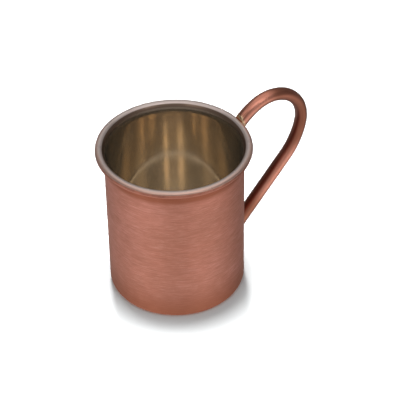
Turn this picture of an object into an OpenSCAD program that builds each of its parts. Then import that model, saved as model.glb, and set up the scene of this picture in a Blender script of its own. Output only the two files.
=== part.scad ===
// Straight-sided copper mug: a drawn cup, tinned inside, with its lip curled over a wire,
// and one bent copper tube brazed on as the handle.
// +Z is up, the origin is the centre of the base, and the handle stands out towards +X.

/* [Body] */
// Outer diameter of the cup's wall
body_d = 82; // [64:0.5:110]
// Height of the copper lip above the base
body_h = 99; // [80:0.5:140]
// Thickness of the copper sheet
sheet_t = 1; // [0.6:0.05:1.3]
// Outer radius of the corner between the base and the wall
corner_r = 4; // [2:0.25:10]

/* [Lip] */
// How far the rim stands out past the wall
rim_overhang = 5; // [4.6:0.1:8]
// Diameter of the wire that the lip is curled over
wire_d = 2.4; // [1.8:0.1:3]
// Radius of the flare from the wall into the lip, on its tinned side
flare_r = 8; // [6:0.5:14]

/* [Tin lining] */
// Thickness of the tin
tin_t = 0.1; // [0.05:0.05:0.2]

/* [Handle] */
// Outer diameter of the handle's tube
tube_d = 8; // [6:0.25:10]
// Wall thickness of the handle's tube
tube_wall = 1; // [0.6:0.1:1.5]
// How far the handle stands out past the cup's wall
handle_reach = 53; // [46:0.5:70]
// How far the handle rises above the lip
handle_rise = 12.25; // [8:0.25:24]
// Radius of the top bend, at the tube's centreline
crown_r = 22.75; // [18:0.25:28]
// Radius of the easy bend below the top one, at the tube's centreline
easy_r = 46; // [34:0.5:60]
// Drop from the lip to where the centreline meets the wall at the top
upper_foot_drop = 8.6; // [7:0.1:14]
// Height above the base where the centreline meets the wall at the bottom
lower_foot_h = 16.4; // [12:0.1:30]

/* [Brazing] */
// How wide the braze stands round each foot of the handle
braze_w = 1.2; // [0.6:0.1:1.8]

/* [Hidden] */
$fn = 96;

wire_clearance = 0.05;  // between the wire and the curl round it
curl_gap = 0.3;         // between the curl's cut edge and the neck that it closes on
braze_film = 0.15;      // thickness of the braze between a foot and what it stands on
end_inset = 0.4;        // the upper foot is filed back this far inside the rim's widest line
end_cover = 0.6;        // thickness of the braze over that filed end
tin_clearance = 0.075;  // between the tin's edge on the bead and that braze
crown_start_usual = 117; // on the top bend's circle, where the upper foot's bend joins it
crown_start_spare = [10, 25]; // fewest and most degrees between there and the straight run below
crown_end_turn = -10.5; // on the same circle, where the easy bend joins it

body_r = body_d / 2;
tube_r = tube_d / 2;
inside_r = body_r - sheet_t;
bead_hole_r = wire_d / 2 + wire_clearance;
bead_r = bead_hole_r + sheet_t;
bead_c = [body_r + rim_overhang - bead_r, body_h - bead_r];
foot_end_r = body_r + rim_overhang - end_inset;
past_lip = 2 * tube_d; // how far a cutting form runs on above the lip
buried = 1.6 * tube_r; // how far a foot is drawn past the wall before it is coped
plug_r = tube_r - tube_wall / 4; // the braze in the upper foot's end reaches out into the tube's wall

// Where two stretches of a sheet or a tube meet, one laps a little way inside the other.
// It is this much thinner on each face, so that their surfaces never nearly coincide.
lap_step = 0.005;
lap = 0.05;

// A unit vector at an angle, in the plane of a profile or of the handle.
function unit(turn) = [cos(turn), sin(turn)];
// The angle of a vector, from 0 to 360.
function turn_of(v) = (atan2(v.y, v.x) + 360) % 360;
// The angle that a lap takes up on a bend.
function lap_turn(bend_r) = lap / bend_r * 180 / PI;

// The flare is one arc, tangent to the inside of the wall and to the bead.
flare_side = flare_r - (bead_c.x - inside_r);
flare_c = [inside_r + flare_r, bead_c.y - sqrt(pow(flare_r - bead_r, 2) - pow(flare_side, 2))];
flare_turn = atan2(bead_c.y - flare_c.y, bead_c.x - flare_c.x);
// The tin ends here on the bead: 90 is its top, 0 its widest line.
tin_edge_turn = acos((foot_end_r - end_cover - tin_clearance - bead_c.x) / (bead_r + tin_t));
// The curl stops just short of the neck: the angle comes from the law of cosines.
curl_span = acos((pow(flare_r - sheet_t - curl_gap, 2) - pow(flare_r - bead_r, 2) - pow(bead_r, 2))
    / (2 * (flare_r - bead_r) * bead_r));

// The handle's centreline, from the upper foot to the lower one, in the XZ plane.
crown_c = [body_r + handle_reach - tube_r - crown_r, body_h + handle_rise - tube_r - crown_r];
upper_foot = [body_r, body_h - upper_foot_drop];
lower_foot = [body_r, lower_foot_h];
// A straight run from the upper foot would touch the crown at this angle, if the foot is outside it.
foot_from_crown = upper_foot - crown_c;
straight_run_turn = norm(foot_from_crown) > crown_r
    ? turn_of(foot_from_crown) - acos(crown_r / norm(foot_from_crown))
    : crown_start_usual + crown_start_spare[1];
crown_start_turn = max(straight_run_turn - crown_start_spare[1],
    min(crown_start_usual, straight_run_turn - crown_start_spare[0]));
// The upper foot's bend leaves the crown along its tangent and ends at the upper foot.
crown_start = crown_c + crown_r * unit(crown_start_turn);
to_foot = upper_foot - crown_start;
lead_r = -(to_foot * to_foot) / (2 * to_foot * unit(crown_start_turn));
lead_c = crown_start - lead_r * unit(crown_start_turn);
upper_foot_turn = turn_of(upper_foot - lead_c);
// The easy bend leaves the crown along its tangent, and the straight leg leaves the easy bend.
easy_c = crown_c + (crown_r - easy_r) * unit(crown_end_turn);
to_leg = lower_foot - easy_c;
leg_turn = atan2(to_leg.y, to_leg.x) + acos(easy_r / norm(to_leg));
leg_start = easy_c + easy_r * unit(leg_turn);
leg_length = norm(lower_foot - leg_start);

// A layer of the cup's profile, from the axis out to the bead's end_turn. depth is how far the
// layer's inner face lies inside the cup's outer face, and t is its thickness.
module profile_layer(depth, t, end_turn) {
    thin_t = t - 2 * lap_step;
    corner_c = [body_r - corner_r, corner_r];
    translate([0, depth - t + lap_step])
        square([corner_c.x + lap, thin_t]);
    bent_strip(corner_c, corner_r - depth, corner_r - depth + t, -90, 0);
    translate([body_r - depth + lap_step, corner_c.y - lap])
        square([thin_t, flare_c.y - corner_c.y + 2 * lap]);
    bent_strip(flare_c, flare_r - sheet_t + depth - t, flare_r - sheet_t + depth, flare_turn, 180);
    bent_strip(bead_c, bead_hole_r + depth - t + lap_step, bead_hole_r + depth - lap_step,
        end_turn, flare_turn + lap_turn(bead_r));
}

// A strip bent round a centre, from one angle to another, anticlockwise.
module bent_strip(centre, inner_r, outer_r, from, to) {
    steps = ceil((to - from) / 45);
    far = 2 * outer_r;
    translate(centre)
        intersection() {
            difference() {
                circle(outer_r);
                circle(inner_r);
            }
            polygon(concat([[0, 0]], [for (i = [0:steps]) far * unit(from + (to - from) * i / steps)]));
        }
}

module body() {
    color("#b87361")
        rotate_extrude()
            profile_layer(sheet_t, sheet_t, flare_turn + curl_span - 360);
}

module tin_lining() {
    color("#a9a096")
        rotate_extrude()
            profile_layer(sheet_t + tin_t, tin_t, tin_edge_turn);
}

module rim_wire() {
    color("#7d7f82")
        rotate_extrude()
            translate(bead_c)
                circle(wire_d / 2);
}

// The cup's outside as one filled form, grown by some clearance, for coping what stands on it.
// Above the bead's middle it reaches out to the radius end_r as well.
module outside_form(grow, end_r) {
    grown_bead_r = bead_r + grow;
    rotate_extrude() {
        translate([0, -past_lip])
            square([body_r + grow, past_lip + flare_c.y + lap]);
        polygon([[0, flare_c.y], [body_r + grow, flare_c.y], [bead_c.x, bead_c.y - grown_bead_r],
            bead_c, [0, bead_c.y]]);
        intersection() {
            translate(bead_c)
                circle(grown_bead_r);
            translate([bead_c.x - lap, bead_c.y - grown_bead_r])
                square([lap + grown_bead_r, 2 * grown_bead_r]);
        }
        translate([0, bead_c.y - lap])
            square([end_r, lap + bead_r + past_lip]);
    }
}

// A bar bent round a centre in the XZ plane. Its children are its section.
module bent_bar(centre, bend_r, from, to) {
    translate([centre.x, 0, centre.y])
        rotate([90, 0, 0])
            rotate([0, 0, from])
                rotate_extrude(angle = to - from)
                    translate([bend_r, 0])
                        children();
}

// The tube's section, thinner by lap_step on each face where it laps inside its neighbours.
module tube_section(thinner) {
    difference() {
        circle(tube_r - thinner);
        circle(tube_r - tube_wall + thinner);
    }
}

module upper_foot_bend() {
    bent_bar(lead_c, lead_r, crown_start_turn - lap_turn(lead_r),
        upper_foot_turn + buried / lead_r * 180 / PI)
        children();
}

module leg() {
    translate([leg_start.x, 0, leg_start.y])
        rotate([0, 180 - leg_turn, 0])
            linear_extrude(leg_length + buried)
                children();
}

module handle() {
    color("#b9705c")
        difference() {
            union() {
                upper_foot_bend()
                    tube_section(lap_step);
                bent_bar(crown_c, crown_r, crown_end_turn, crown_start_turn)
                    tube_section(0);
                bent_bar(easy_c, easy_r, leg_turn - lap_turn(easy_r), crown_end_turn + lap_turn(easy_r))
                    tube_section(lap_step);
                leg()
                    tube_section(0);
            }
            outside_form(braze_film, foot_end_r);
        }
}

// What is left of its children outside the cup and the handle: the braze at one foot.
module braze_against_cup_and_handle() {
    color("#c39a5c")
        difference() {
            children();
            outside_form(0, foot_end_r - end_cover);
            handle();
        }
}

module upper_braze() {
    braze_against_cup_and_handle() {
        intersection() {
            upper_foot_bend()
                circle(tube_r + braze_w);
            outside_form(braze_w, bead_c.x);
        }
        // The cover over the tube's filed end, and the plug inside it.
        intersection() {
            upper_foot_bend()
                circle(plug_r);
            outside_form(braze_w, foot_end_r + braze_w);
        }
    }
}

module lower_braze() {
    braze_against_cup_and_handle()
        intersection() {
            leg()
                circle(tube_r + braze_w);
            outside_form(braze_w, foot_end_r);
        }
}

body();
tin_lining();
rim_wire();
handle();
upper_braze();
lower_braze();
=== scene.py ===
import math

import bpy
import numpy as np
from mathutils import Matrix, Vector, noise


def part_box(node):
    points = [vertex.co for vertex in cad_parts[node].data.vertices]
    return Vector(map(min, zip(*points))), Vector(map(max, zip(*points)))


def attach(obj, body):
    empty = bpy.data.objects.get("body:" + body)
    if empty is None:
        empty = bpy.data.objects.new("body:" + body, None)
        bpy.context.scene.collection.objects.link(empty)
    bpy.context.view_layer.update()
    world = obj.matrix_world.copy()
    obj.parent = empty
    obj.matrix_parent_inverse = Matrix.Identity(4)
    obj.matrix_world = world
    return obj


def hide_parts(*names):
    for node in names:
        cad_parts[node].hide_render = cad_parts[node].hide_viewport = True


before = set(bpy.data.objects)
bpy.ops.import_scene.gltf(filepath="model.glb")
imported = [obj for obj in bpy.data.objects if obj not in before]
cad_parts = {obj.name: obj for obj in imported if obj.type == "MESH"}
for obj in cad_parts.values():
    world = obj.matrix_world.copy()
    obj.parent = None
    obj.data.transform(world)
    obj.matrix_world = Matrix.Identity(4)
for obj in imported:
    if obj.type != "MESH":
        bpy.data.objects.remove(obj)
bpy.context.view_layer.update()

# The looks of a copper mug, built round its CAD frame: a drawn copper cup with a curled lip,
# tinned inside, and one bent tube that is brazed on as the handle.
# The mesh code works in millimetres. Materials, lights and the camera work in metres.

# ---------------------------------------------------------------- sizes
MM = 0.001


def box_mm(node):
    low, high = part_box(node)
    return np.array(low) / MM, np.array(high) / MM


def unit(turn):
    return np.array([math.cos(turn), math.sin(turn)])


body_high = box_mm("body")[1]
handle_high = box_mm("handle")[1]
wire_low, wire_high = box_mm("rim_wire")
body_points = np.array([v.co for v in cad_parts["body"].data.vertices]) / MM
lower_half = body_points[body_points[:, 2] < body_high[2] / 2]

LIP_Z = body_high[2]
RIM_R = body_high[0]
WALL_R = np.hypot(lower_half[:, 0], lower_half[:, 1]).max()
SHEET = box_mm("tin_lining")[0][2]
WIRE_R = (wire_high[2] - wire_low[2]) / 2
BEAD_Z = (wire_high[2] + wire_low[2]) / 2
BEAD_R = LIP_Z - BEAD_Z
BEAD_X = RIM_R - BEAD_R
INSIDE_R = WALL_R - SHEET
TUBE_R = handle_high[1]

# These repeat the part's own source, which this script can't read.
CORNER_R = 4.0
FLARE_R = 8.0
WIRE_ROOM = 0.05
TUBE_WALL = 1.0
CROWN_R = 22.75
EASY_R = 46.0
UPPER_FOOT_Z = LIP_Z - 8.6
LOWER_FOOT_Z = 16.4
FOOT_END_R = RIM_R - 0.4
CROWN_START = math.radians(117)
CROWN_END = math.radians(-10.5)
CURL_END = math.radians(-147.5)

# Centres in the cup's profile, as (radius, height), and where the flare meets the bead.
CORNER_C = np.array([WALL_R - CORNER_R, CORNER_R])
BEAD_C = np.array([BEAD_X, BEAD_Z])
FLARE_SIDE = FLARE_R - (BEAD_X - INSIDE_R)
FLARE_DROP = math.sqrt((FLARE_R - BEAD_R) ** 2 - FLARE_SIDE ** 2)
FLARE_C = np.array([INSIDE_R + FLARE_R, BEAD_Z - FLARE_DROP])
FLARE_TURN = math.atan2(BEAD_Z - FLARE_C[1], BEAD_X - FLARE_C[0])
CURL_HOLE_R = WIRE_R + WIRE_ROOM


# ---------------------------------------------------------------- mesh helpers
def mesh_object(name, vertices, faces, sharp_deg=40.0):
    mesh = bpy.data.meshes.new(name)
    mesh.from_pydata([tuple(v) for v in np.asarray(vertices) * MM], [], faces)
    mesh.validate()
    mesh.shade_smooth()
    mesh.set_sharp_from_angle(angle=math.radians(sharp_deg))
    obj = bpy.data.objects.new(name, mesh)
    bpy.context.scene.collection.objects.link(obj)
    return obj


def ring_faces(a, b):
    """The faces between two closed rings of vertices. Swapped rings turn them over."""
    count = len(a)
    return [(a[i], a[(i + 1) % count], b[(i + 1) % count], b[i]) for i in range(count)]


def arc_points(centre, radii, turns):
    return np.stack([centre[0] + radii * np.cos(turns), centre[1] + radii * np.sin(turns)], 1)


def arc(centre, radius, start, end, count):
    """Points on an arc, ends included."""
    return arc_points(centre, radius, np.linspace(start, end, count))


def straight(start, end, count):
    """Points on a straight line, ends included."""
    return np.linspace(start, end, count)


def lathe(name, profile_at, around, sharp_deg):
    """A turned piece. profile_at(turn) gives its (radius, height) points, from the axis back to it."""
    turns = np.linspace(0, 2 * math.pi, around, endpoint=False)
    rows = np.stack([profile_at(t) for t in turns])
    off_axis = rows[:, 1:-1]
    count = off_axis.shape[1]
    x = off_axis[:, :, 0] * np.cos(turns)[:, None]
    y = off_axis[:, :, 0] * np.sin(turns)[:, None]
    vertices = np.stack([x, y, off_axis[:, :, 1]], 2).reshape(-1, 3)
    first, last = len(vertices), len(vertices) + 1
    vertices = np.vstack([vertices, [0, 0, rows[:, 0, 1].mean()], [0, 0, rows[:, -1, 1].mean()]])
    faces = []
    for i in range(around):
        a, b = i * count, (i + 1) % around * count
        faces.append((first, b, a))
        for j in range(count - 1):
            faces.append((a + j, b + j, b + j + 1, a + j + 1))
        faces.append((a + count - 1, b + count - 1, last))
    return mesh_object(name, vertices, faces, sharp_deg)


def soft_noise(x, y, z, size):
    """Smooth noise between about -1 and 1 at a point in millimetres; size is its wavelength."""
    return noise.noise(Vector((x / size + 7.3, y / size - 2.1, z / size + 4.7)))


def clamped(x):
    return min(1.0, max(0.0, x))


def smooth_step(x):
    x = clamped(x)
    return x * x * (3 - 2 * x)


# ---------------------------------------------------------------- the copper cup
DISH_DEPTH = 0.28   # the middle of the base is pushed in this far
DISH_R = 33.0
EDGE_ROUND = 0.14   # how far the curl's cut edge is rounded, as an angle about the bead


def wall_wobble(turn, z):
    """How far hand work has left the wall from a true cylinder. The corner and the flare hold it true."""
    x, y = WALL_R * math.cos(turn), WALL_R * math.sin(turn)
    free = clamped((z - 6) / 20) * clamped((LIP_Z - 8 - z) / 10)
    return free * (0.05 * soft_noise(x, y, z, 38) + 0.02 * soft_noise(x, y, z * 1.6, 13))


def wobbled(profile, turn):
    """A profile with its wall, but not its base, moved by the wobble."""
    moved = profile.copy()
    for k, (r, z) in enumerate(profile):
        if r > INSIDE_R - 2:
            moved[k, 0] += wall_wobble(turn, z)
    return moved


def uneven_bead_r(turn):
    """The bead's radius, which changes a little round the rim."""
    x, y = RIM_R * math.cos(turn), RIM_R * math.sin(turn)
    return BEAD_R - 0.035 + 0.035 * soft_noise(x, y, 0, 17)


def cup_profile(turn):
    bead_r = uneven_bead_r(turn)
    base = straight((0, DISH_DEPTH), (CORNER_C[0], 0.0), 26)
    base[:, 1] = DISH_DEPTH * (1 - np.clip(base[:, 0] / DISH_R, 0, 1) ** 2) ** 2
    across = np.linspace(math.pi, 0, 9)[1:-1]
    edge_r = (CURL_HOLE_R + bead_r) / 2 + (bead_r - CURL_HOLE_R) / 2 * np.cos(across)
    profile = np.vstack([
        base[:-1],
        arc(CORNER_C, CORNER_R, -math.pi / 2, 0, 14),
        straight((WALL_R, CORNER_R), (WALL_R, FLARE_C[1]), 46)[1:-1],
        arc(FLARE_C, FLARE_R - SHEET, math.pi, FLARE_TURN, 12),
        arc(BEAD_C, CURL_HOLE_R, FLARE_TURN, CURL_END, 26)[1:],
        arc_points(BEAD_C, edge_r, CURL_END - EDGE_ROUND * np.sin(across)),
        arc(BEAD_C, bead_r, CURL_END, FLARE_TURN, 64),
        arc(FLARE_C, FLARE_R, FLARE_TURN, math.pi, 14)[1:],
        straight((INSIDE_R, FLARE_C[1]), (INSIDE_R, CORNER_R), 46)[1:-1],
        arc(CORNER_C, CORNER_R - SHEET, 0, -math.pi / 2, 8),
        straight((CORNER_C[0], SHEET), (0, SHEET), 8)[1:],
    ])
    return wobbled(profile, turn)


# ---------------------------------------------------------------- the tin
TIN_T = 0.09
TIN_SUNK = 0.04         # the tin's hidden side lies this far inside the copper
TIN_FADE = 0.08         # the share of its way over the bead in which the tin thins out
TIN_EDGE_TURN = 25      # in degrees on the bead, where 90 is its top and 0 its widest line
FOOT_EDGE_TURN = 66     # the same beside the handle, where the tin stops short of the braze
FOOT_HALF_TURN = 0.13   # how far to each side of the handle that goes, in radians about the cup


def tin_edge(turn):
    """Where the wiped tin ends on the bead."""
    x, y = RIM_R * math.cos(turn), RIM_R * math.sin(turn)
    edge = TIN_EDGE_TURN + 4 * soft_noise(x, y, 11, 26) + 3 * soft_noise(x, y, 11, 7)
    from_handle = math.atan2(math.sin(turn), math.cos(turn))
    beside_handle = math.exp(-((from_handle / FOOT_HALF_TURN) ** 4))
    return math.radians(edge + (FOOT_EDGE_TURN - edge) * beside_handle)


def tin_profile(turn):
    bead_r = uneven_bead_r(turn)
    end = tin_edge(turn)
    share = np.linspace(0, 1, 34)[1:]
    thick = TIN_T * np.minimum((1 - share) / TIN_FADE, 1)
    thick[-1] = -TIN_SUNK
    floor_z, wall_r = SHEET + TIN_T, INSIDE_R - TIN_T
    hidden_z, hidden_r = SHEET - TIN_SUNK, INSIDE_R + TIN_SUNK
    profile = np.vstack([
        straight((0, floor_z), (CORNER_C[0], floor_z), 30)[:-1],
        arc(CORNER_C, CORNER_R - SHEET - TIN_T, -math.pi / 2, 0, 12),
        straight((wall_r, CORNER_R), (wall_r, FLARE_C[1]), 60)[1:-1],
        arc(FLARE_C, FLARE_R + TIN_T, math.pi, FLARE_TURN, 16),
        arc_points(BEAD_C, bead_r + thick, FLARE_TURN + (end - FLARE_TURN) * share),
        arc(BEAD_C, bead_r - TIN_SUNK - 0.02, end + 0.02, FLARE_TURN, 20),
        arc(FLARE_C, FLARE_R - TIN_SUNK, FLARE_TURN, math.pi, 10)[1:],
        straight((hidden_r, FLARE_C[1]), (hidden_r, CORNER_R), 46)[1:-1],
        arc(CORNER_C, CORNER_R - SHEET + TIN_SUNK, 0, -math.pi / 2, 8),
        straight((CORNER_C[0], hidden_z), (0, hidden_z), 8)[1:],
    ])
    return wobbled(profile, turn)


# ---------------------------------------------------------------- the handle
# The centreline's bends, worked out as in the part's source. Points are (x, z).
CROWN_C = np.array([handle_high[0] - TUBE_R - CROWN_R, handle_high[2] - TUBE_R - CROWN_R])
UPPER_FOOT = np.array([WALL_R, UPPER_FOOT_Z])
LOWER_FOOT = np.array([WALL_R, LOWER_FOOT_Z])
crown_start = CROWN_C + CROWN_R * unit(CROWN_START)
to_foot = UPPER_FOOT - crown_start
LEAD_R = -(to_foot @ to_foot) / (2 * to_foot @ unit(CROWN_START))
LEAD_C = crown_start - LEAD_R * unit(CROWN_START)
upper_foot_turn = math.atan2(UPPER_FOOT[1] - LEAD_C[1], UPPER_FOOT[0] - LEAD_C[0])
EASY_C = CROWN_C + (CROWN_R - EASY_R) * unit(CROWN_END)
to_leg = LOWER_FOOT - EASY_C
LEG_TURN = math.atan2(to_leg[1], to_leg[0]) + math.acos(EASY_R / np.linalg.norm(to_leg))
LEG_START = EASY_C + EASY_R * unit(LEG_TURN)
LEG_WAY = (LOWER_FOOT - LEG_START) / np.linalg.norm(LOWER_FOOT - LEG_START)

BURIED = 6.4    # how far the centreline runs on past the wall at each foot
UPPER_LENGTH = LEAD_R * (upper_foot_turn - CROWN_START) + BURIED
CROWN_LENGTH = CROWN_R * (CROWN_START - CROWN_END)
EASY_LENGTH = EASY_R * (CROWN_END - LEG_TURN)
LEG_LENGTH = np.linalg.norm(LOWER_FOOT - LEG_START) + BURIED
HANDLE_LENGTH = UPPER_LENGTH + CROWN_LENGTH + EASY_LENGTH + LEG_LENGTH

# Half the tube's width in the plane of the bend, by the length along it. It flattened where it was
# bent tightest.
WIDTH_AT = np.array([0, 6, 20, 34, 48, 60, 72, 84, 98, 115, 160, 400])
HALF_WIDTHS = np.array([4.12, 4.12, 4.02, 3.98, 3.86, 3.68, 3.62, 3.76, 3.93, 4.0, 4.06, 4.06])

FOOT_GAP = 0.06    # between the tube's coped ends and the cup


def centreline(s):
    """(point, outward normal) in the handle's plane, s millimetres from the buried upper end."""
    if s < UPPER_LENGTH:
        turn = CROWN_START + (UPPER_LENGTH - s) / LEAD_R
        return LEAD_C + LEAD_R * unit(turn), unit(turn)
    s -= UPPER_LENGTH
    if s < CROWN_LENGTH:
        turn = CROWN_START - s / CROWN_R
        return CROWN_C + CROWN_R * unit(turn), unit(turn)
    s -= CROWN_LENGTH
    if s < EASY_LENGTH:
        turn = CROWN_END - s / EASY_R
        return EASY_C + EASY_R * unit(turn), unit(turn)
    s -= EASY_LENGTH
    return LEG_START + s * LEG_WAY, unit(LEG_TURN)


def half_width(s):
    k = min(max(1, int(np.searchsorted(WIDTH_AT, s))), len(WIDTH_AT) - 1)
    share = smooth_step((s - WIDTH_AT[k - 1]) / (WIDTH_AT[k] - WIDTH_AT[k - 1]))
    return HALF_WIDTHS[k - 1] + (HALF_WIDTHS[k] - HALF_WIDTHS[k - 1]) * share


def tube_point(s, phi, inset=0.0):
    """A point on the tube's skin, or inset under it. phi is 0 on the outside of the bend."""
    centre, out = centreline(s)
    in_plane = half_width(s) - inset
    off_plane = min(TUBE_R - 0.01, 2 * TUBE_R - half_width(s)) - inset
    rough = 0.03 * soft_noise(s, 20 * math.cos(phi), 20 * math.sin(phi), 21) if inset == 0 else 0.0
    return np.array([centre[0] + (in_plane + rough) * math.cos(phi) * out[0],
                     (off_plane + min(rough, 0)) * math.sin(phi),
                     centre[1] + (in_plane + rough) * math.cos(phi) * out[1]])


def outside_depth(point, grow=0.0):
    """How far a point lies outside the cup's outside, grown by some clearance. Inside, it is negative."""
    r, z = math.hypot(point[0], point[1]), point[2]
    bead = math.hypot(r - BEAD_X, z - BEAD_Z) - BEAD_R - grow
    wall = max(r - WALL_R - grow, z - FLARE_C[1])
    # A straight side from the top of the wall to the underside of the bead stands for the neck.
    a, b = np.array([WALL_R + grow, FLARE_C[1]]), np.array([BEAD_X, BEAD_Z - BEAD_R - grow])
    along = (b - a) / np.linalg.norm(b - a)
    past = (r - a[0]) * along[1] - (z - a[1]) * along[0]
    neck = max(past, FLARE_C[1] - 0.01 - z, z - BEAD_Z)
    return min(bead, wall, neck)


def coped_depth(point):
    """The same for the tube's ends: above the bead's middle they are filed off at FOOT_END_R as well."""
    r, z = math.hypot(point[0], point[1]), point[2]
    filed = max(r - FOOT_END_R - 0.02, BEAD_Z - z)
    return min(outside_depth(point, FOOT_GAP), filed)


def coped_ends(phi, inset=0.0):
    """Where along the handle this line of the tube meets the cup, at the top and at the bottom."""
    found = []
    for s, step in ((HANDLE_LENGTH * 0.35, -0.5), (HANDLE_LENGTH * 0.7, 0.5)):
        while coped_depth(tube_point(s, phi, inset)) > 0:
            s += step
        outside, inside = s - step, s
        for _ in range(18):
            middle = (outside + inside) / 2
            if coped_depth(tube_point(middle, phi, inset)) > 0:
                outside = middle
            else:
                inside = middle
        found.append((outside + inside) / 2)
    return found


def handle_mesh(name):
    sides, skin_rings, bore_rings = 56, 250, 60
    phis = np.linspace(0, 2 * math.pi, sides, endpoint=False)
    vertices, rings = [], []
    for inset, count in ((0.0, skin_rings), (TUBE_WALL, bore_rings)):
        ends = [coped_ends(phi, inset) for phi in phis]
        for k in range(count):
            share = k / (count - 1)
            rings.append(range(len(vertices), len(vertices) + sides))
            for phi, (top, bottom) in zip(phis, ends):
                vertices.append(tube_point(top + (bottom - top) * share, phi, inset))
    skin, bore = rings[:skin_rings], rings[skin_rings:]
    pairs = [*zip(skin, skin[1:]), *zip(bore[1:], bore), (bore[0], skin[0]), (skin[-1], bore[-1])]
    faces = [face for a, b in pairs for face in ring_faces(a, b)]
    return mesh_object(name, vertices, faces, 50.0)


# ---------------------------------------------------------------- the brazing
def away_from_cup(point):
    """The direction that leads straight away from the cup's outside."""
    way = np.zeros(3)
    for k in range(3):
        step = np.zeros(3)
        step[k] = 0.02
        way[k] = outside_depth(point + step) - outside_depth(point - step)
    return way / max(np.linalg.norm(way), 1e-9)


def fillet_ring(end, leg_on_tube, leg_on_cup):
    """A hollow ring of filler round one foot: (vertices, faces). end is 0 at the top, 1 at the bottom."""
    around, across = 120, 9
    towards_middle = 1 if end == 0 else -1
    vertices = []
    for i in range(around):
        phi = 2 * math.pi * i / around
        s = coped_ends(phi)[end]
        joint = tube_point(s, phi)
        centre, _ = centreline(s)
        off_tube = joint - np.array([centre[0], 0, centre[1]])
        off_tube /= np.linalg.norm(off_tube)
        uneven = 1 + 0.22 * soft_noise(joint[0], joint[1] * 2, joint[2], 3.2)
        # Above the bead the upper foot has no corner to fill, and the ring dwindles to a film.
        above = smooth_step((joint[2] - BEAD_Z - 0.6) / 1.2) if end == 0 else 0.0
        tube_leg = leg_on_tube * uneven * (1 - above) + 0.12 * above
        cup_leg = leg_on_cup * uneven * (1 - above) + 0.02 * above
        on_tube = tube_point(s + towards_middle * tube_leg, phi)
        normal = away_from_cup(joint)
        along_cup = off_tube - (off_tube @ normal) * normal
        along_cup /= max(np.linalg.norm(along_cup), 1e-9)
        on_cup = joint + cup_leg * along_cup
        if above < 0.5:
            for _ in range(4):
                on_cup = on_cup - outside_depth(on_cup) * away_from_cup(on_cup)
        hollow = joint + 0.06 * (on_tube + on_cup - 2 * joint)
        for q in np.linspace(0, 1, across):
            vertices.append((1 - q) ** 2 * on_tube + 2 * q * (1 - q) * hollow + q ** 2 * on_cup)
        vertices.append(on_cup - 0.35 * normal)
        vertices.append(joint - 0.4 * normal - 0.3 * off_tube)
        vertices.append(on_tube - 0.3 * off_tube)
    section = len(vertices) // around
    rings = [range(i * section, (i + 1) * section) for i in range(around)]
    faces = [face for a, b in zip(rings, rings[1:] + rings[:1]) for face in ring_faces(a, b)]
    return vertices, faces


def end_cover():
    """The pillow of filler over the tube's filed end, which stands above the lip."""
    around, steps = 72, 8
    edge = []
    for i in range(-around // 2, around // 2):
        phi = 2 * math.pi * i / around
        p = tube_point(coped_ends(phi)[0], phi)
        if p[2] > BEAD_Z + 0.5 and abs(math.hypot(p[0], p[1]) - FOOT_END_R) < 0.12:
            edge.append(p)
    foot = BEAD_Z + 0.2
    left, right = edge[0], edge[-1]
    for corner, share in ((right, 0.3), (right, 0.65), (left, 0.65), (left, 0.3)):
        edge.append(np.array([corner[0], corner[1] * (1 - share * 0.9), foot]))
    count = len(edge)
    middle = np.array([FOOT_END_R, 0, (np.array(edge)[:, 2].max() + foot) / 2 + 0.2])
    vertices = []
    for k in range(steps + 1):
        q = k / steps
        face_r = FOOT_END_R + 0.05 - 0.5 * math.sqrt(1 - (1 - q) ** 2)
        for p in edge:
            inset = p + (middle - p) * (0.07 + 0.93 * q * 0.98)
            pulled = face_r / math.hypot(inset[0], inset[1])
            vertices.append(np.array([inset[0] * pulled, inset[1], inset[2]]))
    faces = []
    for k in range(steps):
        for i in range(count):
            j = (i + 1) % count
            faces.append((k * count + i, (k + 1) * count + i, (k + 1) * count + j, k * count + j))
    top = len(vertices)
    vertices.append(np.array([FOOT_END_R - 0.45, 0, middle[2]]))
    for i in range(count):
        faces.append((steps * count + i, top, steps * count + (i + 1) % count))
    back = range(len(vertices), len(vertices) + count)
    for p in edge:
        inset = p + (middle - p) * 0.12
        vertices.append(np.array([FOOT_END_R + 0.8, inset[1], inset[2]]))
    faces += ring_faces(range(count), back)
    faces.append(tuple(back))
    return vertices, faces


def melted(name, parts):
    """Parts run together into one mass of filler with soft edges."""
    vertices, faces = [], []
    for part_vertices, part_faces in parts:
        faces += [tuple(len(vertices) + i for i in face) for face in part_faces]
        vertices += part_vertices
    rough = mesh_object(name + "_rough", vertices, faces)
    remesh = rough.modifiers.new("Remesh", "REMESH")
    remesh.mode = "VOXEL"
    remesh.voxel_size = 0.13 * MM
    smooth = rough.modifiers.new("Smooth", "SMOOTH")
    smooth.factor = 0.5
    smooth.iterations = 4
    bpy.context.view_layer.update()
    made = rough.evaluated_get(bpy.context.evaluated_depsgraph_get())
    mesh = bpy.data.meshes.new_from_object(made)
    bpy.data.objects.remove(rough)
    mesh.name = name
    mesh.shade_smooth()
    obj = bpy.data.objects.new(name, mesh)
    bpy.context.scene.collection.objects.link(obj)
    return obj


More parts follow.
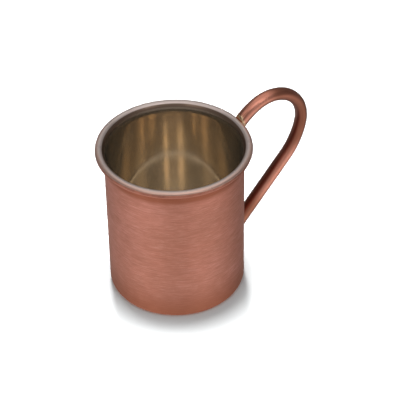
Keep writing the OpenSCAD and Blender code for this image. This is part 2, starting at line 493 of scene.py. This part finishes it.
# ---------------------------------------------------------------- materials
class Nodes:
    """A short way to write a node tree."""

    def __init__(self, tree):
        self.tree = tree

    def add(self, kind, inputs=(), **settings):
        node = self.tree.nodes.new(kind)
        for key, value in settings.items():
            setattr(node, key, value)
        for key, value in dict(inputs).items():
            self.put(node.inputs[key], value)
        return node

    def put(self, socket, value):
        if isinstance(value, bpy.types.NodeSocket):
            self.tree.links.new(value, socket)
        elif isinstance(value, bpy.types.Node):
            self.tree.links.new(value.outputs[0], socket)
        elif socket.type == "RGBA":
            socket.default_value = (*value, 1)
        else:
            socket.default_value = value

    def math(self, operation, a, b=0.0):
        return self.add("ShaderNodeMath", {0: a, 1: b}, operation=operation)

    def plus(self, a, b):
        return self.math("ADD", a, b)

    def times(self, first, *rest):
        product = first
        for value in rest:
            product = self.math("MULTIPLY", product, value)
        return product

    def vector_math(self, operation, a, b=(0.0, 0.0, 0.0)):
        return self.add("ShaderNodeVectorMath", {0: a, 1: b}, operation=operation)

    def position(self):
        return self.add("ShaderNodeTexCoord").outputs["Object"]

    def normal(self):
        return self.add("ShaderNodeTexCoord").outputs["Normal"]

    def xyz(self, vector):
        return self.add("ShaderNodeSeparateXYZ", {0: vector}).outputs

    def vector(self, x, y, z):
        return self.add("ShaderNodeCombineXYZ", {0: x, 1: y, 2: z}).outputs[0]

    def radius(self):
        x, y, _ = self.xyz(self.position())
        return self.math("SQRT", self.plus(self.times(x, x), self.times(y, y)))

    def stretched(self, x_scale, y_scale, z_scale):
        x, y, z = self.xyz(self.position())
        return self.vector(self.times(x, x_scale), self.times(y, y_scale), self.times(z, z_scale))

    def turned(self, around, across):
        """Coordinates slow round the axis and fast along the profile: marks of turning and brushing."""
        x, y, z = self.xyz(self.position())
        path = self.plus(z, self.radius())
        return self.vector(self.times(x, around), self.times(y, around), self.times(path, across))

    def noise(self, vector, scale, detail=2.0, roughness=0.5):
        return self.add("ShaderNodeTexNoise", {"Vector": vector, "Scale": scale, "Detail": detail,
                                               "Roughness": roughness}).outputs["Fac"]

    def span(self, value, low, high, to_low=0.0, to_high=1.0, smooth=False):
        """A value's place between low and high, as a number between to_low and to_high."""
        return self.add("ShaderNodeMapRange", {0: value, 1: low, 2: high, 3: to_low, 4: to_high},
                        interpolation_type="SMOOTHSTEP" if smooth else "LINEAR").outputs[0]

    def ramp(self, value, low_colour, high_colour):
        """A colour between two, as a noise runs from 0.3 to 0.7."""
        node = self.add("ShaderNodeValToRGB", {0: value})
        for element, at, colour in zip(node.color_ramp.elements, (0.3, 0.7), (low_colour, high_colour)):
            element.position = at
            element.color = (*colour, 1)
        return node.outputs["Color"]

    def mix(self, share, a, b):
        node = self.add("ShaderNodeMix", data_type="RGBA")
        for k, value in ((0, share), (6, a), (7, b)):
            self.put(node.inputs[k], value)
        return node.outputs[2]

    def bump(self, height, strength, distance, under=None):
        node = self.add("ShaderNodeBump", {"Height": height, "Strength": strength, "Distance": distance})
        if under is not None:
            self.put(node.inputs["Normal"], under)
        return node.outputs["Normal"]


class Surface(Nodes):
    """A material's node tree, with its one shader."""

    def __init__(self, name):
        self.material = bpy.data.materials.new(name)
        self.material.use_nodes = True
        super().__init__(self.material.node_tree)
        self.shader = self.tree.nodes["Principled BSDF"]

    def set(self, **values):
        for key, value in values.items():
            self.put(self.shader.inputs[key.replace("_", " ")], value)


def brushed_copper():
    """The cup: brushed round its axis, with painted glints on the brush lines, and painted shade at the
    base, under the lip and beside the tin.
    """
    n = Surface("brushed_copper")
    fine = n.noise(n.turned(150, 2600), 1.0, 4, 0.7)
    hair = n.noise(n.turned(40, 5200), 1.0, 3, 0.6)
    dabs = n.noise(n.turned(90, 700), 1.0, 3, 0.6)
    blotch = n.noise(n.position(), 60, 4, 0.65)
    cloud = n.noise(n.position(), 22)
    z = n.xyz(n.position())[2]
    colour = n.ramp(cloud, (0.80, 0.325, 0.225), (0.86, 0.375, 0.290))
    colour = n.mix(n.span(blotch, 0.35, 0.65, 0.0, 0.45), colour, (0.71, 0.33, 0.225))
    colour = n.mix(n.span(dabs, 0.35, 0.70, 0.0, 0.40), colour, (0.66, 0.275, 0.190))
    colour = n.mix(n.span(fine, 0.32, 0.62, 0.55, 0.0), colour, (0.55, 0.215, 0.145))
    colour = n.mix(n.span(hair, 0.35, 0.65, 0.2, 0.0), colour, (0.55, 0.22, 0.155))
    # Painted highlights: pale, pinkish glints on the brush lines.
    colour = n.mix(n.span(dabs, 0.45, 0.30, 0.0, 0.15), colour, (0.90, 0.50, 0.42))
    colour = n.mix(n.span(fine, 0.54, 0.72, 0.0, 0.40), colour, (0.92, 0.52, 0.44))
    # Painted shade: darker and browner towards the base, for the floor's contact shadow seen in the copper.
    colour = n.mix(n.span(z, 0.002, 0.026, 0.95, 0.0, smooth=True), colour, (0.50, 0.175, 0.100))
    # Painted shade under the bead, on the neck below the lip.
    neck = n.times(n.span(z, 0.0855, 0.0895, smooth=True), n.span(z, 0.0955, 0.0935, 0.35, 0.9))
    colour = n.mix(neck, colour, (0.50, 0.17, 0.095))
    # Painted shade: a dark, uneven line runs along the edge of the tin, on the outer side of the bead.
    bead_edge_shade = n.times(n.span(n.radius(), 0.0448, 0.0453), n.span(z, 0.0960, 0.0965),
                         n.span(blotch, 0.42, 0.60, 0.1, 0.55))
    colour = n.mix(bead_edge_shade, colour, (0.20, 0.095, 0.075))
    rough = n.plus(n.span(fine, 0.3, 0.7, 0.56, 0.44), n.span(blotch, 0.3, 0.7, -0.03, 0.05))
    marks = n.bump(n.plus(n.times(fine, 0.7), n.times(hair, 0.3)), 0.5, 0.00008)
    marks = n.bump(n.noise(n.position(), 110), 0.25, 0.0003, marks)
    tangent = n.add("ShaderNodeTangent", direction_type="RADIAL", axis="Z")
    n.set(Base_Color=colour, Metallic=1.0, Roughness=rough, Normal=marks, Tangent=tangent,
          Anisotropic=0.8, Anisotropic_Rotation=0.25)
    return n.material


def drawn_copper():
    """The handle: smoother than the cup, browner where it was bent, with file marks near its upper foot."""
    n = Surface("drawn_copper")
    x, y, z = n.xyz(n.position())
    cloud = n.noise(n.position(), 60, 3, 0.55)
    fine = n.noise(n.position(), 900, 3, 0.6)
    drawn = n.noise(n.stretched(70, 1100, 70), 1.0, 3, 0.65)
    colour = n.ramp(cloud, (0.76, 0.30, 0.205), (0.86, 0.37, 0.27))
    colour = n.mix(n.span(fine, 0.4, 0.7, 0.0, 0.2), colour, (0.60, 0.24, 0.165))
    colour = n.mix(n.span(drawn, 0.40, 0.68, 0.0, 0.45), colour, (0.50, 0.19, 0.125))
    # File marks and tarnish near the upper foot.
    foot = n.times(n.span(x, 0.057, 0.046, smooth=True), n.span(z, 0.080, 0.086),
                   n.span(drawn, 0.40, 0.60, 0.1, 0.9))
    colour = n.mix(foot, colour, (0.34, 0.14, 0.09))
    # Painted shade on the underside of the upper stretch, from the foot to the crown, where the tube faces
    # down.
    under = n.times(n.span(n.xyz(n.normal())[2], 0.25, -0.35, smooth=True), n.span(z, 0.088, 0.096),
                    n.span(x, 0.078, 0.062, 0.0, 0.85))
    colour = n.mix(under, colour, (0.25, 0.11, 0.075))
    # The scale that heat left on the bend, and tarnish low on the leg.
    bend = n.times(n.span(x, 0.0620, 0.0715, smooth=True), n.span(z, 0.058, 0.072, smooth=True))
    scale = n.times(n.plus(bend, n.span(cloud, 0.3, 0.7, -0.12, 0.12)), 0.9)
    colour = n.mix(scale, colour, (0.31, 0.115, 0.068))
    colour = n.mix(n.span(z, 0.044, 0.030, 0.0, 0.85, smooth=True), colour, (0.38, 0.14, 0.08))
    # Painted shade on the side of the tube that faces the middle of the loop and the cup.
    inwards = n.vector_math("NORMALIZE", n.vector_math("SUBTRACT", (0.045, 0.0, 0.062), n.position()))
    facing = n.vector_math("DOT_PRODUCT", n.normal(), inwards).outputs["Value"]
    loop_side_shade = n.times(n.span(facing, 0.42, 0.84, smooth=True), n.span(z, 0.104, 0.088), 0.9)
    colour = n.mix(loop_side_shade, colour, (0.20, 0.085, 0.06))
    # Braze has run a little way up the tube beside its filed end.
    ragged = n.plus(n.radius(), n.span(drawn, 0.3, 0.7, -0.0006, 0.0006))
    run = n.times(n.span(ragged, 0.0466, 0.0459), n.span(y, -0.0008, -0.0018),
                  n.span(z, 0.0974, 0.0982), 0.8)
    colour = n.mix(run, colour, (0.93, 0.69, 0.42))
    rough = n.plus(n.span(cloud, 0.3, 0.7, 0.24, 0.34), n.times(bend, 0.08))
    marks = n.bump(drawn, 0.25, 0.0001, n.bump(fine, 0.12, 0.00005))
    n.set(Base_Color=colour, Metallic=1.0, Roughness=rough, Normal=marks)
    return n.material


def wiped_tin():
    """The tin: wiped up the wall, stained towards the lip, and rubbed down to the copper on the lip."""
    n = Surface("wiped_tin")
    x, _, z = n.xyz(n.position())
    radius = n.radius()
    spun = n.noise(n.turned(30, 2200), 1.0, 3, 0.6)
    wiped = n.noise(n.stretched(150, 150, 9), 1.0, 3, 0.6)
    blotch = n.noise(n.position(), 70, 3, 0.6)
    inside = n.ramp(blotch, (0.75, 0.64, 0.505), (0.83, 0.72, 0.585))
    inside = n.mix(n.span(wiped, 0.44, 0.66, 0.0, 0.30), inside, (0.86, 0.745, 0.56))
    inside = n.mix(n.span(wiped, 0.42, 0.26, 0.0, 0.35), inside, (0.68, 0.59, 0.50))
    inside = n.mix(n.span(spun, 0.4, 0.7, 0.0, 0.2), inside, (0.60, 0.51, 0.40))
    # The floor is greyer, and a pale line runs round above the corner, strongest on the handle's side.
    floor_tin = n.ramp(blotch, (0.72, 0.66, 0.56), (0.82, 0.76, 0.66))
    inside = n.mix(n.span(z, 0.0022, 0.0011), inside, floor_tin)
    pale_corner_line = n.times(n.span(z, 0.0036, 0.0040), n.span(z, 0.0052, 0.0047),
                       n.span(x, -0.005, 0.022, 0.15, 1.0))
    inside = n.mix(pale_corner_line, inside, (0.98, 0.92, 0.80))
    # The wall is stained towards the lip, and the flare is dark.
    inside = n.mix(n.span(z, 0.078, 0.093, 0.0, 0.30, smooth=True), inside, (0.42, 0.33, 0.25))
    flare = n.span(z, 0.0940, 0.0968, 0.0, 0.95, smooth=True)
    inside = n.mix(flare, inside, (0.165, 0.105, 0.075))
    lip = n.ramp(blotch, (0.62, 0.50, 0.46), (0.74, 0.62, 0.57))
    ragged = n.plus(radius, n.span(blotch, 0.3, 0.7, -0.0004, 0.0004))
    lip = n.mix(n.span(ragged, 0.0436, 0.0454, 0.0, 0.85), lip, (0.78, 0.47, 0.37))
    # Painted shade: the tin is darker at its outer edge, on the outer side of the bead.
    lip = n.mix(n.span(radius, 0.0450, 0.0456, 0.0, 0.5), lip, (0.30, 0.17, 0.13))
    colour = n.mix(n.span(radius, 0.0416, 0.0421, smooth=True), inside, lip)
    rough = n.plus(n.span(spun, 0.3, 0.7, 0.08, 0.13), n.span(blotch, 0.3, 0.7, -0.02, 0.03))
    rough = n.plus(rough, n.times(flare, 0.2))
    marks = n.bump(wiped, 0.10, 0.0002, n.bump(spun, 0.12, 0.00005))
    n.set(Base_Color=colour, Metallic=0.95, Roughness=rough, Normal=marks)
    return n.material


def filler():
    n = Surface("braze_filler")
    grain = n.noise(n.position(), 700, 3, 0.6)
    cloud = n.noise(n.position(), 220)
    colour = n.ramp(cloud, (0.66, 0.44, 0.25), (0.92, 0.74, 0.48))
    rough = n.span(grain, 0.3, 0.7, 0.30, 0.5)
    n.set(Base_Color=colour, Metallic=1.0, Roughness=rough, Normal=n.bump(grain, 0.25, 0.0001))
    return n.material


def steel():
    n = Surface("drawn_steel")
    lines = n.noise(n.turned(40, 3000), 1.0)
    colour = n.ramp(lines, (0.38, 0.38, 0.39), (0.52, 0.52, 0.53))
    rough = n.span(lines, 0.3, 0.7, 0.3, 0.45)
    n.set(Base_Color=colour, Metallic=1.0, Roughness=rough, Normal=n.bump(lines, 0.2, 0.00005))
    return n.material


def floor_white():
    n = Surface("floor_white")
    n.set(Base_Color=(0.845, 0.865, 0.87), Roughness=0.9, Specular_IOR_Level=0.0)
    return n.material


def paint(obj, material):
    obj.data.materials.clear()
    obj.data.materials.append(material)


# ---------------------------------------------------------------- the pieces
def add_piece(obj, node, material):
    paint(obj, material)
    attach(obj, "root")
    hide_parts(node)


braze = filler()
add_piece(lathe("copper_cup", cup_profile, 288, 40.0), "body", brushed_copper())
add_piece(lathe("tin_inside", tin_profile, 320, 60.0), "tin_lining", wiped_tin())
add_piece(handle_mesh("bent_tube_handle"), "handle", drawn_copper())
add_piece(melted("upper_foot_braze", [fillet_ring(0, 0.75, 0.65), end_cover()]),
          "upper_braze", braze)
add_piece(melted("lower_foot_braze", [fillet_ring(1, 0.8, 0.8)]), "lower_braze", braze)
paint(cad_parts["rim_wire"], steel())

# ---------------------------------------------------------------- floor
FLOOR_REACH = 12.0
FLOOR_STEPS = 24
side = np.linspace(-FLOOR_REACH, FLOOR_REACH, FLOOR_STEPS + 1)
rows = [range(j * len(side), (j + 1) * len(side)) for j in range(len(side))]
floor_mesh = bpy.data.meshes.new("floor")
squares = [(a[i], a[i + 1], b[i + 1], b[i]) for a, b in zip(rows, rows[1:]) for i in range(FLOOR_STEPS)]
floor_mesh.from_pydata([(x, y, 0.0) for y in side for x in side], [], squares)
floor = bpy.data.objects.new("floor", floor_mesh)
bpy.context.scene.collection.objects.link(floor)
floor.visible_glossy = False  # the metal reflects the studio's own grey, and not this white sheet
paint(floor, floor_white())

# ---------------------------------------------------------------- camera
# The photo's view, from a camera fitted to the cup and the handle.
VIEW_TURN = Matrix.Rotation(math.radians(-31.5), 4, "Z")
ELEVATION = math.radians(39.212)
ROLL = math.radians(-0.95)
DISTANCE = 1.0046
OFFSET_X, OFFSET_Z, AIM_Z = 0.014681, 0.010264, 0.043929
FOCAL_PX = 1674.228
PICTURE_PX = 400
SENSOR_MM = 36.0

ahead = Vector((0, math.cos(ELEVATION), -math.sin(ELEVATION)))
right = Vector((1, 0, 0))
up = Vector((0, math.sin(ELEVATION), math.cos(ELEVATION)))
aim = right * OFFSET_X + up * OFFSET_Z + Vector((0, 0, AIM_Z))
rolled_right = right * math.cos(ROLL) + up * math.sin(ROLL)
rolled_up = up * math.cos(ROLL) - right * math.sin(ROLL)
facing = Matrix((rolled_right, rolled_up, -ahead)).transposed().to_4x4()
camera = bpy.data.objects.new("camera", bpy.data.cameras.new("camera"))
camera.matrix_world = VIEW_TURN @ Matrix.Translation(aim - ahead * DISTANCE) @ facing
camera.data.sensor_width = SENSOR_MM
camera.data.lens = FOCAL_PX / PICTURE_PX * SENSOR_MM
camera.data.clip_start, camera.data.clip_end = 0.05, 20.0
bpy.context.scene.collection.objects.link(camera)
bpy.context.scene.camera = camera

# ---------------------------------------------------------------- light
# Azimuths of light are in the photo's view: 0 is behind the cup, 90 to the right and 180 in front.
LIT_POINT = Vector((0, 0, 0.06))


def away(azimuth, elevation=0.0):
    """The direction that leads from the cup to an azimuth and elevation."""
    a, e = math.radians(azimuth), math.radians(elevation)
    return VIEW_TURN.to_3x3() @ Vector((math.sin(a) * math.cos(e), math.cos(a) * math.cos(e), math.sin(e)))


def softbox(name, azimuth, elevation, distance, width, height):
    """An area light that faces the cup."""
    data = bpy.data.lights.new(name, "AREA")
    data.shape = "RECTANGLE"
    data.size, data.size_y = width, height
    light = bpy.data.objects.new(name, data)
    light.location = LIT_POINT + away(azimuth, elevation) * distance
    light.rotation_mode = "QUATERNION"
    light.rotation_quaternion = away(azimuth, elevation).to_track_quat("Z", "Y")
    light.visible_camera = False
    bpy.context.scene.collection.objects.link(light)
    return light


# These light the metal alone. Strength is how bright they look in it.
for name, azimuth, elevation, distance, width, height, strength in (
        ("ceiling", 180, 88, 1.3, 2.4, 2.4, 0.36),
        ("high_box", 164, 57, 1.2, 0.46, 0.30, 0.55),
        ("back_box", 0, 38, 1.5, 1.7, 0.30, 0.25),
        ("front_left_box", -146, 37, 1.3, 0.46, 0.32, 1.2),
        ("front_right_box", 140, 38, 1.3, 0.22, 0.28, 2.2)):
    box = softbox(name, azimuth, elevation, distance, width, height)
    box.data.energy = strength * width * height * math.pi
    box.visible_diffuse = False
bpy.data.lights["ceiling"].shape = "DISK"

# These light the floor alone. The handle's thin shadow is lost in them, as it is under a wide tent.
casting = bpy.data.collections.new("casts_on_floor")
for name in ("copper_cup", "tin_inside"):
    casting.objects.link(bpy.data.objects[name])
for name, azimuth, elevation, size, watts in (
        ("floor_key", -34, 88.1, 0.22, 20.0),
        ("floor_back", -6, 45, 0.22, 16.0),
        ("floor_fill", 180, 55, 0.9, 3.7)):
    box = softbox(name, azimuth, elevation, 1.3, size, size)
    box.data.energy = watts
    box.visible_glossy = False
    if name != "floor_fill":
        box.light_linking.blocker_collection = casting
bpy.data.lights["floor_fill"].color = (0.76, 1.0, 1.05)

# The world is a grey studio. Its upper half is brighter in front, and its lower half in front and
# at the sides.
world = bpy.data.worlds.new("studio")
bpy.context.scene.world = world
world.use_nodes = True
studio = Nodes(world.node_tree)
direction = studio.add("ShaderNodeTexCoord").outputs["Generated"]
rise = studio.xyz(direction)[2]


def towards(azimuth, low, high, to_low, to_high):
    """A brightness that changes as a direction of the world turns towards an azimuth."""
    turned = studio.vector_math("DOT_PRODUCT", direction, away(azimuth)).outputs["Value"]
    return studio.span(turned, low, high, to_low, to_high, smooth=True)


upper = towards(180, -0.1, 0.8, 0.22, 0.45)
sides = studio.plus(towards(-90, -0.1, 0.7, 0.0, 0.27), towards(122, 0.55, 1.0, 0.0, 0.42))
deep = studio.span(rise, -0.20, -0.45, smooth=True)
lower = studio.plus(towards(180, -0.7, 0.5, 0.31, 0.67), studio.times(sides, deep))
below = studio.span(rise, -0.20, 0.05, 1.0, 0.0, smooth=True)
above = studio.math("SUBTRACT", 1.0, below)
background = world.node_tree.nodes["Background"]
studio.put(background.inputs["Color"], (1, 1, 1))
brightness = studio.plus(studio.times(below, lower), studio.times(above, upper))
studio.put(background.inputs["Strength"], brightness)

bpy.context.scene.view_settings.view_transform = "Standard"
